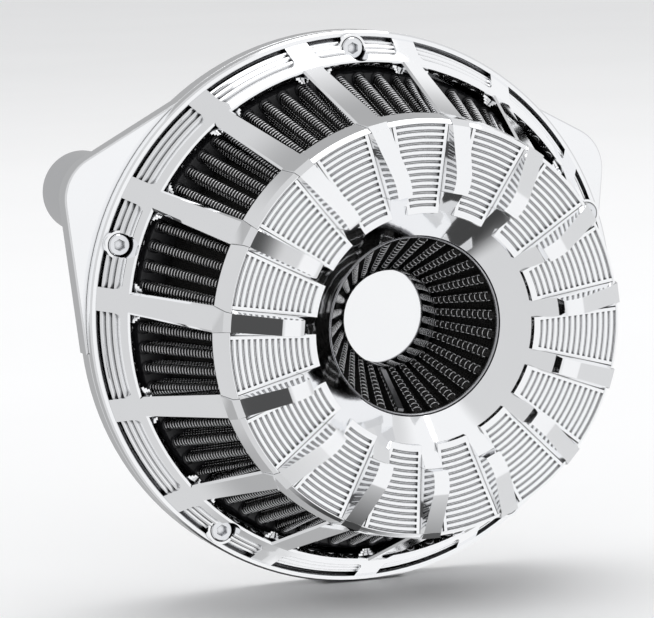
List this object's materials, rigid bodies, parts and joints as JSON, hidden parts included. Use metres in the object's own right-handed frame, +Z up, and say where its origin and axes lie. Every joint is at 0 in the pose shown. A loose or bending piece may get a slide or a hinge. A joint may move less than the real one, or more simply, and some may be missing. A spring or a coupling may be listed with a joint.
{
  "type": "air filter",
  "caption": "Round chromed air cleaner: skeleton cover of arched spokes over a pleated filter with an inverted centre cone, on a backing plate with two breather stand-offs.",
  "frame": {"origin": "centre of the intake bore on the rear face of the backing plate", "axes": "-Y out of the cover's front, +Y towards the throttle body, +Z up"},
  "size_m": [0.2224, 0.1477, 0.216],
  "materials": {
    "chrome_plate": "mirror polished",
    "chrome_standoff": "polished, slightly soft",
    "chrome_cover": "mirror polished",
    "chrome_cap": "mirror polished",
    "screw_steel": "polished",
    "plain_steel": "zinc plated",
    "stud_steel": "machined",
    "clip_steel": "folded strip",
    "rim_steel": "bright edge",
    "washer_aluminium": "satin",
    "gasket_fibre": "pressed fibre",
    "seal_rubber": "matte",
    "filter_rubber": "moulded, slight sheen",
    "filter_urethane": "moulded",
    "filter_media": "black knitted mesh over gauze"
  },
  "bodies": {
    "backing": {"backing_plate": "chrome_plate", "intake_gasket": "gasket_fibre", "throttle_body_screws": "plain_steel", "standoff_left": "chrome_standoff", "standoff_right": "chrome_standoff", "standoff_seal_left": "seal_rubber", "standoff_seal_right": "seal_rubber", "breather_stud_left": "stud_steel", "breather_stud_right": "stud_steel", "head_washer_left": "washer_aluminium", "head_washer_right": "washer_aluminium"},
    "cover": {"cover_base_ring": "chrome_cover", "cover_spokes": "chrome_cover", "cover_rim": "chrome_cover", "cover_panels": "chrome_cover", "cover_bars": "chrome_cover", "cover_funnel": "chrome_cover", "cover_seal": "seal_rubber"},
    "screws": {"cover_screws": "screw_steel"},
    "filter": {"filter_base_seal": "filter_rubber", "outer_pleats": "filter_media", "filter_top_cap": "filter_urethane", "inner_cone_pleats": "filter_media", "cone_rim_ring": "rim_steel", "cone_seam_clip": "clip_steel", "cone_end_disc": "filter_urethane", "centre_cap": "chrome_cap", "cap_stud": "plain_steel", "cap_nut": "plain_steel"}
  },
  "joints": [
    {"name": "cover_lift_off", "type": "slide", "parent": "backing", "child": "cover", "axis": [0, -1, 0], "range_m": [0, 0.13]},
    {"name": "filter_lift_off", "type": "slide", "parent": "backing", "child": "filter", "axis": [0, -1, 0], "range_m": [0, 0.065]},
    {"name": "screws_withdraw", "type": "slide", "parent": "cover", "child": "screws", "axis": [0, -1, 0], "range_m": [0, 0.022]}
  ],
  "couplings": [
    {"joint": "filter_lift_off", "follows": "cover_lift_off", "ratio": 0.5}
  ]
}
